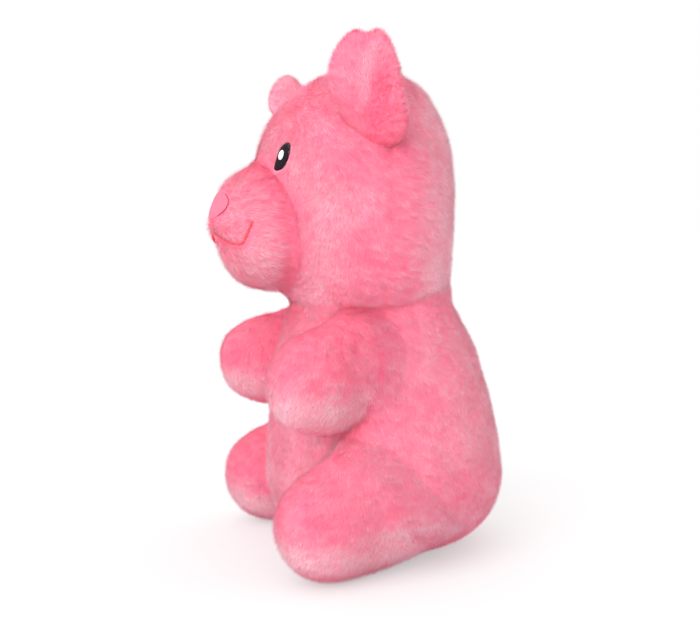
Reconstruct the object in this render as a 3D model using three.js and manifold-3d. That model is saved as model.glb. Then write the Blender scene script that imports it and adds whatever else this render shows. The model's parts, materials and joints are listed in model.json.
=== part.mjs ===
// Plush bear that sits, a soft squeaking toy. Millimetres, +Z up, the bear faces -Y and its left is +X.
// The origin is the middle of the flat seat. Every stuffed member is a pile-fabric cover round a filling.
import * as THREE from 'three';
import { mergeVertices } from 'three/addons/utils/BufferGeometryUtils.js';
import Module from 'manifold-3d';

const wasm = await Module();
wasm.setup();

// Fabric and fit
const COVER = 5; // pile fabric, backing and fur together
const FIT = 0.3; // clearance between neighbouring pieces
const STITCH_HEIGHT = 1.4; // how far embroidery stands up
const PRESSED_FLAT = 0.5; // depth to which seat and feet are flat on the floor

// Body: a pear that leans forward to the neck, measured from the upright axis over the seat
const SEAT_HALF_WIDTH = 58;
const SEAT_FRONT = 55;
const SEAT_BACK = 52;
const SEAT_ROUNDNESS = 3; // 2 is an ellipse, more is fuller
const HIP_HEIGHT = 40;
const HIP_HALF_WIDTH = 60;
const HIP_FRONT = 57;
const HIP_BACK = 55;
const CHEST_ABOVE_HIP = 49;
const CHEST_HALF_WIDTH = 51;
const CHEST_FRONT = 53;
const CHEST_BACK = 44;
const NECK_ABOVE_CHEST = 27.5;
const NECK_HALF_WIDTH = 44;
const NECK_FRONT = 46;
const NECK_BACK = 30;
const SEAT_PANEL_HALF_WIDTH = 30;
const SEAT_PANEL_HALF_DEPTH = 30;

// Head: measured from its own upright axis, which stands ahead of the seat
const HEAD_AXIS_AHEAD = 12;
const JAW_ABOVE_NECK = 15;
const JAW_HALF_WIDTH = 53;
const JAW_FRONT = 40;
const JAW_BACK = 40;
const CHEEK_ABOVE_JAW = 30;
const CHEEK_HALF_WIDTH = 57;
const CHEEK_FRONT = 46;
const CHEEK_BACK = 41;
const FOREHEAD_ABOVE_CHEEK = 32;
const FOREHEAD_FRONT = 51.5;
const CROWN_ABOVE_CHEEK = 64;
const CROWN_HALF_WIDTH = 54;
const CROWN_FRONT = 42;
const CROWN_BACK = 41;
const CROWN_ROUNDNESS = 2.5;
const SEAM_BEHIND_FACE = 41; // seam between the face and the back of the head, behind the cheeks' front
const NECK_BALL_DROP = 18; // centre of the neck's round seat below the neck seam
const NOD_DEGREES = 8;

// Muzzle: measured from its own axis, which points forward
const MUZZLE_BELOW_CHEEK = 8;
const MUZZLE_REACH = 27.5; // how far the tip stands out of the face
const MUZZLE_SINK = 15; // how far its root runs back into the head
const MUZZLE_ROOT_HALF_WIDTH = 31;
const MUZZLE_ROOT_UP = 31;
const MUZZLE_ROOT_DOWN = 32;
const MUZZLE_TIP_HALF_WIDTH = 28;
const MUZZLE_TIP_UP = 25;
const MUZZLE_TIP_DOWN = 31;
const MUZZLE_ROUNDNESS = 2.3;

// Face embroidery
const EYE_SIDE = 23;
const EYE_ABOVE_CHEEK = 21;
const EYE_HALF_WIDTH = 4.8;
const EYE_HALF_HEIGHT = 6.6;
const EYE_TILT_DEGREES = 12;
const GLINT_HALF_WIDTH = 1.8;
const GLINT_HALF_HEIGHT = 2.1;
const GLINT_ABOVE_EYE = 0.6;
const NOSE_ABOVE_MUZZLE = 7.5;
const NOSE_HALF_WIDTH = 15;
const NOSE_HALF_HEIGHT = 6.5;
const MOUTH_BELOW_MUZZLE = 9.8;
const MOUTH_HALF_WIDTH = 25;
const MOUTH_LOBE_SIDE = 19; // lowest points of its two lobes
const MOUTH_PEAK = 9; // rise in the middle, up to the nose
const MOUTH_CURL = 10; // rise of the ends
const MOUTH_THREAD = 1.9;

// Ears: cupped pads that stand on the head just ahead of its seam and face outward
const EAR_AHEAD_OF_SEAM = 8.5;
const EAR_HINGE_ABOVE_CHEEK = 30.5;
const EAR_HINGE_SINK = 3; // hinge line below the head's surface
const EAR_HALF_WIDTH = 16;
const EAR_HEIGHT = 43; // from the hinge line to the tip
const EAR_THICKNESS = 14;
const EAR_CUP = 8; // how far the rims curl ahead of the middle
const EAR_ROUNDNESS = 2.4;
const EAR_FACING_DEGREES = 45; // turned outward from straight ahead
const EAR_LEAN_DEGREES = 28; // tip leans outward from upright
const EAR_ROOT_HALF_LENGTH = 14;
const EAR_FOLD_DEGREES = 12;

// Arms and legs: stubby pads, each in a round seat in the body's side
const ARM = {
  pivotHeight: HIP_HEIGHT + CHEST_ABOVE_HIP,
  pivotAhead: 16,
  pivotSink: 5, // seat centre below the body's surface
  reach: 55.5,
  rootBehind: 18,
  halfWidth: 20,
  tipHalfWidth: 19,
  up: 26,
  tipUp: 22,
  down: 23,
  tipDown: 22,
  outward: 0.32, // slope of its axis away from straight ahead
  droop: 0.12, // slope of its axis down
  mouthRadius: 7, // opening in its root through which it is filled
};
const LEG_DOWN = 25.5;
const LEG = {
  pivotHeight: LEG_DOWN - PRESSED_FLAT,
  pivotAhead: 16,
  pivotSink: 7,
  reach: 52,
  rootBehind: 22,
  halfWidth: 23,
  tipHalfWidth: 23,
  up: 23.5,
  tipUp: 21,
  down: LEG_DOWN,
  tipDown: 22,
  outward: 0.2,
  droop: 0,
  mouthRadius: 8,
};
const LIMB_BELT_AHEAD = 24; // where a limb is fullest, ahead of its seat
const LIMB_ROOT_ROUNDNESS = 2.2;
const LIMB_TIP_ROUNDNESS = 2.5;
const SEAT_MARGIN = 5; // a limb's round seat is this much smaller than the limb
const ARM_DROP_DEGREES = 4;
const ARM_RAISE_DEGREES = 16;
const LEG_CLOSE_DEGREES = 4;
const LEG_SPLAY_DEGREES = 14;

// Squeaker: a flat blown bulb with a reed pressed into its neck
const SQUEAKER_ABOVE_HIP = 24;
const BULB_RADIUS = 19;
const BULB_HALF_THICKNESS = 12;
const BULB_WALL = 1.6;
const BULB_NECK_RADIUS = 6.5;
const BULB_NECK_LENGTH = 6;
const REED_FLANGE_RADIUS = 6;
const REED_FLANGE_THICKNESS = 1.6;
const REED_LENGTH = 9;
const REED_SLOT_RADIUS = 1.4;

// Facets
const BODY_SIDES = 16;
const BODY_RINGS = 10;
const LIMB_SIDES = 12;
const LIMB_RINGS = 8;
const SEAT_RINGS = 6;
const ARC_STEPS = 3;
const MOUTH_STEPS = 28;
const HIDDEN_COARSENESS = 2; // hidden surfaces have this many times fewer sides and rings
const FACET_DEPTH = 0.2; // facets of a turning seat stay this close to its true round

// Colours
const PINK = 0xf9869f;
const DEEP_PINK = 0xf57794;
const FIBRE = 0xf4f1ea;
const EYE_THREAD = 0x24121c;
const WHITE_THREAD = 0xf7f3f4;
const NOSE_THREAD = 0xf0708c;
const MOUTH_RED = 0xf04d63;
const BULB_PLASTIC = 0xf2f2ee;
const REED_PLASTIC = 0xdfe3e6;

// Heights that follow from the sizes
const CHEST_HEIGHT = HIP_HEIGHT + CHEST_ABOVE_HIP;
const NECK_HEIGHT = CHEST_HEIGHT + NECK_ABOVE_CHEST;
const JAW_HEIGHT = NECK_HEIGHT + JAW_ABOVE_NECK;
const CHEEK_HEIGHT = JAW_HEIGHT + CHEEK_ABOVE_JAW;
const FOREHEAD_HEIGHT = CHEEK_HEIGHT + FOREHEAD_ABOVE_CHEEK;
const CROWN_HEIGHT = CHEEK_HEIGHT + CROWN_ABOVE_CHEEK;
const MUZZLE_HEIGHT = CHEEK_HEIGHT - MUZZLE_BELOW_CHEEK;
const SEAM_AHEAD = HEAD_AXIS_AHEAD + CHEEK_FRONT - SEAM_BEHIND_FACE;

// The surfaces of a stuffed member: its outside, the inside of its cover and the outside of its filling
const SKIN = { grow: 0, coarse: 1 };
const LINING = { grow: -COVER, coarse: HIDDEN_COARSENESS };
const FILLING = { grow: -COVER - FIT, coarse: HIDDEN_COARSENESS };

const SIDES = [['left', 1], ['right', -1]];
const FORWARD = new THREE.Vector3(0, -1, 0);
const UPWARD = new THREE.Vector3(0, 0, 1);
const SIDEWAYS = new THREE.Vector3(1, 0, 0);
const FAR = 400; // larger than the toy, for cutting planes
const QUARTER_TURN = Math.PI / 2;
const radians = THREE.MathUtils.degToRad;

// A closed geometry as a solid, and back
function solid(geometry) {
  const bare = geometry.clone();
  bare.deleteAttribute('normal');
  bare.deleteAttribute('uv');
  const merged = mergeVertices(bare);
  return new wasm.Manifold(new wasm.Mesh({
    numProp: 3,
    vertProperties: Float32Array.from(merged.attributes.position.array),
    triVerts: Uint32Array.from(merged.index.array),
  }));
}

function geometryOf(shape) {
  const mesh = shape.getMesh();
  const geometry = new THREE.BufferGeometry();
  geometry.setAttribute('position', new THREE.BufferAttribute(mesh.vertProperties, mesh.numProp));
  geometry.setIndex(new THREE.BufferAttribute(mesh.triVerts, 1));
  geometry.computeVertexNormals();
  return geometry;
}

// What a solid covers at rest and at both ends of a hinge's range
function swept(shape, hinge, lowDegrees, highDegrees) {
  let covered = shape;
  for (const degrees of [lowDegrees, highDegrees]) {
    const turned = geometryOf(shape).translate(-hinge.pivot.x, -hinge.pivot.y, -hinge.pivot.z);
    turned.applyQuaternion(new THREE.Quaternion().setFromAxisAngle(hinge.axis, radians(degrees)));
    covered = covered.add(solid(turned.translate(hinge.pivot.x, hinge.pivot.y, hinge.pivot.z)));
  }
  return covered;
}

// Smooth curve through stations [place, size], with slopes taken from the neighbouring stations
function curveThrough(stations, place) {
  const last = stations.length - 1;
  let i = 0;
  while (i < last - 1 && place > stations[i + 1][0]) i += 1;
  const slope = (k) => {
    const [before, sizeBefore] = stations[Math.max(k - 1, 0)];
    const [after, sizeAfter] = stations[Math.min(k + 1, last)];
    return (sizeAfter - sizeBefore) / (after - before);
  };
  const [start, sizeStart] = stations[i];
  const [end, sizeEnd] = stations[i + 1];
  const span = end - start;
  const t = THREE.MathUtils.clamp((place - start) / span, 0, 1);
  const ease = t * t * (3 - 2 * t);
  const leaving = t * (1 - t) * (1 - t) * span * slope(i);
  const arriving = t * t * (t - 1) * span * slope(i + 1);
  return sizeStart + (sizeEnd - sizeStart) * ease + leaving + arriving;
}

// How much narrower a form is at a place, because its end closes round from the belt on
function endRounding(form, place) {
  const low = place < form.belt;
  const roundness = low ? form.lowRound : form.highRound;
  const along = (place - form.belt) / ((low ? form.bottom : form.top) - form.belt);
  return roundness ? (1 - along ** roundness) ** (1 / roundness) : 1;
}

// Half width of a form at a place on its axis and a distance ahead of that axis
function halfWidthAt(form, place, ahead) {
  const round = endRounding(form, place);
  const share = ahead / (curveThrough(form.front, place) * round);
  return curveThrough(form.width, place) * round * Math.sqrt(1 - share * share);
}

// A stuffed form along +Z: rings whose half width, front depth and back depth follow smooth curves. An
// end with a roundness closes as a superellipse from the belt on, and one without ends flat.
// grow moves the whole surface outward, or inward where it is negative.
function stuffedForm(form, grow, coarse = 1) {
  const sides = form.sides / coarse;
  const rings = form.rings / coarse;
  const bottom = form.bottom - grow;
  const top = form.top + grow;
  const positions = [];
  const index = [];
  for (let ring = 0; ring <= rings; ring += 1) {
    const share = (2 * ring) / rings - 1;
    const roundness = share < 0 ? form.lowRound : form.highRound;
    const turned = (1 - Math.abs(share)) * QUARTER_TURN;
    const along = roundness ? Math.cos(turned) ** (2 / roundness) : Math.abs(share);
    const across = roundness ? Math.sin(turned) ** (2 / roundness) : 1;
    const place = form.belt + ((share < 0 ? bottom : top) - form.belt) * along;
    for (let side = 0; side < sides; side += 1) {
      const angle = (2 * Math.PI * side) / sides;
      const depth = Math.sin(angle) > 0 ? form.back : form.front;
      positions.push((curveThrough(form.width, place) + grow) * across * Math.cos(angle));
      positions.push((curveThrough(depth, place) + grow) * across * Math.sin(angle));
      positions.push(place);
    }
  }
  positions.push(0, 0, bottom, 0, 0, top);
  const bottomPole = (rings + 1) * sides;
  const topPole = bottomPole + 1;
  const firstRing = form.lowRound ? 1 : 0;
  const lastRing = form.highRound ? rings - 1 : rings;
  for (let side = 0; side < sides; side += 1) {
    const next = (side + 1) % sides;
    index.push(bottomPole, firstRing * sides + next, firstRing * sides + side);
    index.push(topPole, lastRing * sides + side, lastRing * sides + next);
    for (let ring = firstRing; ring < lastRing; ring += 1) {
      const here = ring * sides;
      const above = here + sides;
      index.push(here + side, here + next, above + next);
      index.push(here + side, above + next, above + side);
    }
  }
  const geometry = new THREE.BufferGeometry();
  geometry.setAttribute('position', new THREE.Float32BufferAttribute(positions, 3));
  geometry.setIndex(index);
  return geometry;
}

// A round seat, turned about its hinge's axis, with facets fine enough to turn within the fit
function turningSeat(hinge, { radius, halfLength = radius }, grow, coarse = 1) {
  const sides = Math.ceil(Math.PI / Math.acos(1 - FACET_DEPTH / radius) / coarse);
  const geometry = new THREE.SphereGeometry(1, sides, SEAT_RINGS / coarse);
  geometry.scale(radius + grow, halfLength + grow, radius + grow);
  const ownAxis = new THREE.Vector3(0, 1, 0);
  geometry.applyQuaternion(new THREE.Quaternion().setFromUnitVectors(ownAxis, hinge.axis));
  return solid(geometry.translate(hinge.pivot.x, hinge.pivot.y, hinge.pivot.z));
}

function box(low, high) {
  const size = high.clone().sub(low);
  const middle = high.clone().add(low).multiplyScalar(0.5);
  return solid(new THREE.BoxGeometry(size.x, size.y, size.z).translate(middle.x, middle.y, middle.z));
}

function above(height) {
  return box(new THREE.Vector3(-FAR, -FAR, height), new THREE.Vector3(FAR, FAR, FAR));
}

// An upright oval bar between two heights
function column(low, high, halfWidth, halfDepth) {
  const geometry = new THREE.CylinderGeometry(1, 1, high - low, BODY_SIDES).rotateX(QUARTER_TURN);
  return solid(geometry.scale(halfWidth, halfDepth, 1).translate(0, 0, (low + high) / 2));
}

// Forms of the body, the head and the muzzle
const bodyForm = {
  bottom: -PRESSED_FLAT,
  belt: HIP_HEIGHT,
  top: NECK_HEIGHT,
  lowRound: SEAT_ROUNDNESS,
  width: [[0, SEAT_HALF_WIDTH], [HIP_HEIGHT, HIP_HALF_WIDTH],
    [CHEST_HEIGHT, CHEST_HALF_WIDTH], [NECK_HEIGHT, NECK_HALF_WIDTH]],
  front: [[0, SEAT_FRONT], [HIP_HEIGHT, HIP_FRONT], [CHEST_HEIGHT, CHEST_FRONT], [NECK_HEIGHT, NECK_FRONT]],
  back: [[0, SEAT_BACK], [HIP_HEIGHT, HIP_BACK], [CHEST_HEIGHT, CHEST_BACK], [NECK_HEIGHT, NECK_BACK]],
  sides: BODY_SIDES,
  rings: BODY_RINGS,
};
const headForm = {
  bottom: NECK_HEIGHT + FIT,
  belt: CHEEK_HEIGHT,
  top: CROWN_HEIGHT,
  highRound: CROWN_ROUNDNESS,
  width: [[NECK_HEIGHT, NECK_HALF_WIDTH], [JAW_HEIGHT, JAW_HALF_WIDTH],
    [CHEEK_HEIGHT, CHEEK_HALF_WIDTH], [CROWN_HEIGHT, CROWN_HALF_WIDTH]],
  front: [[NECK_HEIGHT, NECK_FRONT - HEAD_AXIS_AHEAD], [JAW_HEIGHT, JAW_FRONT],
    [CHEEK_HEIGHT, CHEEK_FRONT], [FOREHEAD_HEIGHT, FOREHEAD_FRONT], [CROWN_HEIGHT, CROWN_FRONT]],
  back: [[NECK_HEIGHT, NECK_BACK + HEAD_AXIS_AHEAD], [JAW_HEIGHT, JAW_BACK],
    [CHEEK_HEIGHT, CHEEK_BACK], [CROWN_HEIGHT, CROWN_BACK]],
  sides: BODY_SIDES,
  rings: BODY_RINGS,
};
const muzzleTip = MUZZLE_SINK + MUZZLE_REACH;
const muzzleForm = {
  bottom: 0,
  belt: MUZZLE_SINK,
  top: muzzleTip,
  highRound: MUZZLE_ROUNDNESS,
  width: [[0, MUZZLE_ROOT_HALF_WIDTH], [muzzleTip, MUZZLE_TIP_HALF_WIDTH]],
  front: [[0, MUZZLE_ROOT_DOWN], [muzzleTip, MUZZLE_TIP_DOWN]],
  back: [[0, MUZZLE_ROOT_UP], [muzzleTip, MUZZLE_TIP_UP]],
  sides: BODY_SIDES,
  rings: LIMB_RINGS,
};
const faceAhead = HEAD_AXIS_AHEAD + curveThrough(headForm.front, MUZZLE_HEIGHT);

function plainBody(grow, coarse) {
  return solid(stuffedForm(bodyForm, grow, coarse)).intersect(above(-grow));
}

function plainHead(grow, coarse) {
  return solid(stuffedForm(headForm, grow, coarse).translate(0, -HEAD_AXIS_AHEAD, 0));
}

function muzzle(grow, coarse) {
  const geometry = stuffedForm(muzzleForm, grow, coarse).rotateX(QUARTER_TURN);
  return solid(geometry.translate(0, MUZZLE_SINK - faceAhead, MUZZLE_HEIGHT));
}

// The neck is a round seat just inside the neck's cover, and the head nods on it
const neckRing = Math.min(NECK_HALF_WIDTH, (NECK_FRONT + NECK_BACK) / 2) - COVER;
const neckBall = { radius: Math.hypot(neckRing, NECK_BALL_DROP) };
const neckHinge = {
  pivot: new THREE.Vector3(0, (NECK_BACK - NECK_FRONT) / 2, NECK_HEIGHT - NECK_BALL_DROP),
  axis: SIDEWAYS,
};

// Ears. Local +Z runs up the ear, local -Y is the way it faces and local X is its hinge line.
const earForm = {
  bottom: -EAR_THICKNESS / 2,
  belt: EAR_HEIGHT / 2,
  top: EAR_HEIGHT,
  lowRound: EAR_ROUNDNESS,
  highRound: EAR_ROUNDNESS,
  width: [[0, EAR_HALF_WIDTH], [EAR_HEIGHT, EAR_HALF_WIDTH]],
  front: [[0, EAR_THICKNESS / 2], [EAR_HEIGHT, EAR_THICKNESS / 2]],
  back: [[0, EAR_THICKNESS / 2], [EAR_HEIGHT, EAR_THICKNESS / 2]],
  sides: LIMB_SIDES,
  rings: LIMB_RINGS,
};

function earFrame(side) {
  const height = CHEEK_HEIGHT + EAR_HINGE_ABOVE_CHEEK;
  const ahead = SEAM_AHEAD + EAR_AHEAD_OF_SEAM;
  const out = halfWidthAt(headForm, height, ahead - HEAD_AXIS_AHEAD) - EAR_HINGE_SINK;
  const place = new THREE.Matrix4().makeTranslation(side * out, -ahead, height);
  const lean = new THREE.Matrix4().makeRotationY(side * radians(EAR_LEAN_DEGREES));
  const face = new THREE.Matrix4().makeRotationZ(side * radians(EAR_FACING_DEGREES));
  return place.multiply(lean).multiply(face);
}

function earHinge(side) {
  const frame = earFrame(side);
  return {
    pivot: new THREE.Vector3().setFromMatrixPosition(frame),
    axis: SIDEWAYS.clone().transformDirection(frame),
  };
}

// Bends a pad so that its side rims curl ahead as a parabola, more so higher up
function cupped(geometry) {
  const position = geometry.attributes.position;
  for (let i = 0; i < position.count; i += 1) {
    const aside = position.getX(i) / EAR_HALF_WIDTH;
    const rise = THREE.MathUtils.clamp(position.getZ(i) / (EAR_HEIGHT / 2), 0, 1);
    position.setY(i, position.getY(i) - EAR_CUP * aside * aside * rise);
  }
  return geometry;
}

const earRoll = { radius: EAR_THICKNESS / 2, halfLength: EAR_ROOT_HALF_LENGTH };
const earRoot = (side, grow, coarse) => turningSeat(earHinge(side), earRoll, grow, coarse);

// The two sewn layers of an ear: the half of the pad ahead of its middle sheet and the half behind it
function earLayers(side) {
  const headAround = swept(plainHead(FIT), earHinge(side), -EAR_FOLD_DEGREES, EAR_FOLD_DEGREES);
  const pad = solid(cupped(stuffedForm(earForm, 0)).applyMatrix4(earFrame(side)));
  const whole = pad.subtract(headAround).add(earRoot(side, 0));
  const ahead = (offset) => {
    const width = 3 * EAR_HALF_WIDTH;
    const sheet = new THREE.BoxGeometry(width, EAR_THICKNESS, 3 * EAR_HEIGHT, LIMB_SIDES, 1, LIMB_SIDES);
    sheet.translate(0, offset - EAR_THICKNESS / 2, 0);
    return solid(cupped(sheet).applyMatrix4(earFrame(side)));
  };
  return { front: whole.intersect(ahead(-FIT / 2)), back: whole.subtract(ahead(FIT / 2)) };
}

// The head at one of its surfaces, with the hollow for the neck and the seats of the ears
function head({ grow, coarse }) {
  let shape = plainHead(grow, coarse).subtract(turningSeat(neckHinge, neckBall, FIT - grow, coarse));
  for (const [, side] of SIDES) shape = shape.subtract(earRoot(side, FIT - grow, coarse));
  return shape;
}

// Limbs. Each turns in a round seat in the body and is cut clear of the body over its whole range.
function limbHinge(limb, side, axis) {
  const out = halfWidthAt(bodyForm, limb.pivotHeight, limb.pivotAhead) - limb.pivotSink;
  return { pivot: new THREE.Vector3(side * out, -limb.pivotAhead, limb.pivotHeight), axis };
}

function limbSeat(limb, hinge, grow, coarse) {
  const radius = Math.min(limb.halfWidth, limb.up, limb.down) - SEAT_MARGIN;
  return turningSeat(hinge, { radius }, grow, coarse);
}

function plainLimb(limb, hinge, side, { grow, coarse }) {
  const form = {
    bottom: -limb.rootBehind,
    belt: LIMB_BELT_AHEAD,
    top: limb.reach,
    lowRound: LIMB_ROOT_ROUNDNESS,
    highRound: LIMB_TIP_ROUNDNESS,
    width: [[0, limb.halfWidth], [limb.reach, limb.tipHalfWidth]],
    front: [[0, limb.down], [limb.reach, limb.tipDown]],
    back: [[0, limb.up], [limb.reach, limb.tipUp]],
    sides: LIMB_SIDES,
    rings: LIMB_RINGS,
  };
  const along = new THREE.Vector3(side * limb.outward, -1, -limb.droop).normalize();
  const geometry = stuffedForm(form, grow, coarse);
  geometry.applyQuaternion(new THREE.Quaternion().setFromUnitVectors(UPWARD, FORWARD));
  geometry.applyQuaternion(new THREE.Quaternion().setFromUnitVectors(FORWARD, along));
  return solid(geometry.translate(hinge.pivot.x, hinge.pivot.y, hinge.pivot.z)).intersect(above(-grow));
}

// Cover and filling of a limb. The cover has a round opening in its root, hidden in the seat.
function limbPieces(limb, side, axis, lowDegrees, highDegrees) {
  const hinge = limbHinge(limb, side, axis);
  const whole = (surface) => {
    const bodyAround = swept(plainBody(FIT - surface.grow, surface.coarse), hinge, -highDegrees, -lowDegrees);
    const pad = plainLimb(limb, hinge, side, surface).subtract(bodyAround);
    return pad.add(limbSeat(limb, hinge, surface.grow, surface.coarse));
  };
  const length = 2 * limb.halfWidth;
  const mouth = new THREE.CylinderGeometry(limb.mouthRadius, limb.mouthRadius, length, LIMB_SIDES);
  mouth.rotateZ(QUARTER_TURN).translate(hinge.pivot.x - side * length / 2, hinge.pivot.y, hinge.pivot.z);
  return {
    cover: whole(SKIN).subtract(whole(LINING)).subtract(solid(mouth)),
    filling: whole(FILLING),
  };
}

// The body with its round neck, cut clear of the nodding head and with the seats of the limbs
function body({ grow, coarse }) {
  const headAround = swept(above(NECK_HEIGHT + grow), neckHinge, -NOD_DEGREES, NOD_DEGREES);
  let shape = plainBody(grow, coarse).subtract(headAround);
  shape = shape.add(turningSeat(neckHinge, neckBall, grow, coarse));
  for (const [, side] of SIDES) {
    shape = shape.subtract(limbSeat(ARM, limbHinge(ARM, side, SIDEWAYS), FIT - grow, coarse));
    shape = shape.subtract(limbSeat(LEG, limbHinge(LEG, side, UPWARD), FIT - grow, coarse));
  }
  return shape;
}

// Squeaker, turned about an upright axis with its neck pointing down
const squeakerHeight = HIP_HEIGHT + SQUEAKER_ABOVE_HIP;
const bulbNeckEnd = -BULB_HALF_THICKNESS - BULB_NECK_LENGTH;
const bulbBore = BULB_NECK_RADIUS - BULB_WALL;

function turned(path) {
  const geometry = new THREE.LatheGeometry(path.getPoints(ARC_STEPS), LIMB_SIDES).rotateX(QUARTER_TURN);
  return solid(geometry.translate(0, 0, squeakerHeight));
}

function squeakerBulb() {
  const rimCentre = BULB_RADIUS - BULB_HALF_THICKNESS;
  const inside = BULB_HALF_THICKNESS - BULB_WALL;
  const wall = new THREE.Path();
  wall.moveTo(bulbBore, bulbNeckEnd);
  wall.lineTo(BULB_NECK_RADIUS, bulbNeckEnd);
  wall.lineTo(BULB_NECK_RADIUS, -BULB_HALF_THICKNESS);
  wall.lineTo(rimCentre, -BULB_HALF_THICKNESS);
  wall.absarc(rimCentre, 0, BULB_HALF_THICKNESS, -QUARTER_TURN, QUARTER_TURN);
  wall.lineTo(0, BULB_HALF_THICKNESS);
  wall.lineTo(0, inside);
  wall.lineTo(rimCentre, inside);
  wall.absarc(rimCentre, 0, inside, QUARTER_TURN, -QUARTER_TURN, true);
  wall.lineTo(bulbBore, -inside);
  wall.closePath();
  return turned(wall);
}

function squeakerReed() {
  const shank = bulbBore - FIT;
  const seat = bulbNeckEnd - FIT;
  const wall = new THREE.Path();
  wall.moveTo(REED_SLOT_RADIUS, seat - REED_FLANGE_THICKNESS);
  wall.lineTo(REED_FLANGE_RADIUS, seat - REED_FLANGE_THICKNESS);
  wall.lineTo(REED_FLANGE_RADIUS, seat);
  wall.lineTo(shank, seat);
  wall.lineTo(shank, seat + REED_LENGTH);
  wall.lineTo(REED_SLOT_RADIUS, seat + REED_LENGTH);
  wall.closePath();
  return turned(wall);
}

// The pocket in the filling that holds the squeaker, open downward so that its sound gets out
function squeakerPocket() {
  const wide = BULB_RADIUS + FIT;
  const narrow = Math.max(BULB_NECK_RADIUS, REED_FLANGE_RADIUS) + FIT;
  const half = BULB_HALF_THICKNESS + FIT;
  const outline = new THREE.Path();
  outline.moveTo(0, -squeakerHeight);
  outline.lineTo(narrow, -squeakerHeight);
  outline.lineTo(narrow, -half);
  outline.lineTo(wide, -half);
  outline.lineTo(wide, half);
  outline.lineTo(0, half);
  return turned(outline);
}

// Embroidery: the layer just over a form that an outline, pushed straight ahead from its place, covers
function embroidery(form, outline, place, lift) {
  const straight = { depth: FAR, bevelEnabled: false, curveSegments: LIMB_RINGS };
  const prism = new THREE.ExtrudeGeometry(outline, straight);
  prism.rotateX(QUARTER_TURN).translate(place.x, place.y, place.z);
  return form(lift + STITCH_HEIGHT).subtract(form(lift)).intersect(solid(prism));
}

function oval(halfWidth, halfHeight, tiltDegrees) {
  const shape = new THREE.Shape();
  return shape.absellipse(0, 0, halfWidth, halfHeight, 0, 2 * Math.PI, false, radians(tiltDegrees));
}

// Height of the smile over its lowest points: a wave between its two lobes, and a parabola out to each end
function smileHeight(x) {
  const aside = Math.abs(x);
  if (aside < MOUTH_LOBE_SIDE) return MOUTH_PEAK * (1 + Math.cos(Math.PI * aside / MOUTH_LOBE_SIDE)) / 2;
  return MOUTH_CURL * ((aside - MOUTH_LOBE_SIDE) / (MOUTH_HALF_WIDTH - MOUTH_LOBE_SIDE)) ** 2;
}

// A smile: a band of thread along that line. Its steps are shorter towards the steep ends.
function smile() {
  const line = Array.from({ length: MOUTH_STEPS + 1 }, (_, step) => {
    const x = MOUTH_HALF_WIDTH * Math.sin(((2 * step) / MOUTH_STEPS - 1) * QUARTER_TURN);
    return new THREE.Vector2(x, smileHeight(x));
  });
  const across = line.map((_, step) => {
    const along = line[Math.min(step + 1, MOUTH_STEPS)].clone().sub(line[Math.max(step - 1, 0)]);
    return new THREE.Vector2(-along.y, along.x).setLength(MOUTH_THREAD / 2);
  });
  const upper = line.map((point, step) => point.clone().add(across[step]));
  const lower = line.map((point, step) => point.clone().sub(across[step]));
  return new THREE.Shape([...lower, ...upper.reverse()]);
}

// Assembly
const toy = new THREE.Group();

function addPiece(name, shape, color, roughness = 0.95) {
  const material = new THREE.MeshStandardMaterial({ color, roughness, metalness: 0 });
  const piece = new THREE.Mesh(geometryOf(shape), material);
  piece.name = name;
  toy.add(piece);
}

// Body: two cover panels that meet in the middle, the seat panel, the filling and the squeaker in it
const bodyCover = body(SKIN).subtract(body(LINING));
const seatBand = 2 * COVER;
const seatHole = column(-FAR, seatBand, SEAT_PANEL_HALF_WIDTH, SEAT_PANEL_HALF_DEPTH);
const seatPanel = column(-FAR, seatBand, SEAT_PANEL_HALF_WIDTH - FIT, SEAT_PANEL_HALF_DEPTH - FIT);
for (const [name, side] of SIDES) {
  const inner = side * FIT / 2;
  const half = box(new THREE.Vector3(Math.min(inner, side * FAR), -FAR, -FAR),
    new THREE.Vector3(Math.max(inner, side * FAR), FAR, FAR));
  addPiece(`body_${name}_cover`, bodyCover.subtract(seatHole).intersect(half), PINK);
}
addPiece('seat_panel', bodyCover.intersect(seatPanel), DEEP_PINK);
addPiece('body_filling', body(FILLING).subtract(squeakerPocket()), FIBRE);
addPiece('squeaker_bulb', squeakerBulb(), BULB_PLASTIC, 0.45);
addPiece('squeaker_reed', squeakerReed(), REED_PLASTIC, 0.4);

// Head: face and back of the head meet at the seam, and the muzzle is let into the face
const headCover = head(SKIN).subtract(head(LINING)).subtract(muzzle(FIT));
const corner = (x, y, z) => new THREE.Vector3(x, y, z);
const aheadOfSeam = box(corner(-FAR, -FAR, -FAR), corner(FAR, -SEAM_AHEAD - FIT / 2, FAR));
const behindSeam = box(corner(-FAR, -SEAM_AHEAD + FIT / 2, -FAR), corner(FAR, FAR, FAR));
const neckRoom = turningSeat(neckHinge, neckBall, FIT);
addPiece('face_cover', headCover.intersect(aheadOfSeam), PINK);
addPiece('head_back_cover', headCover.intersect(behindSeam), PINK);
const muzzleLining = muzzle(LINING.grow, LINING.coarse).add(plainHead(LINING.grow, LINING.coarse));
addPiece('muzzle_cover', muzzle(SKIN.grow).subtract(muzzleLining).subtract(neckRoom), PINK);
const muzzleFilling = muzzle(FILLING.grow, FILLING.coarse);
addPiece('head_filling', head(FILLING).add(muzzleFilling).subtract(neckRoom), FIBRE);

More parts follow.
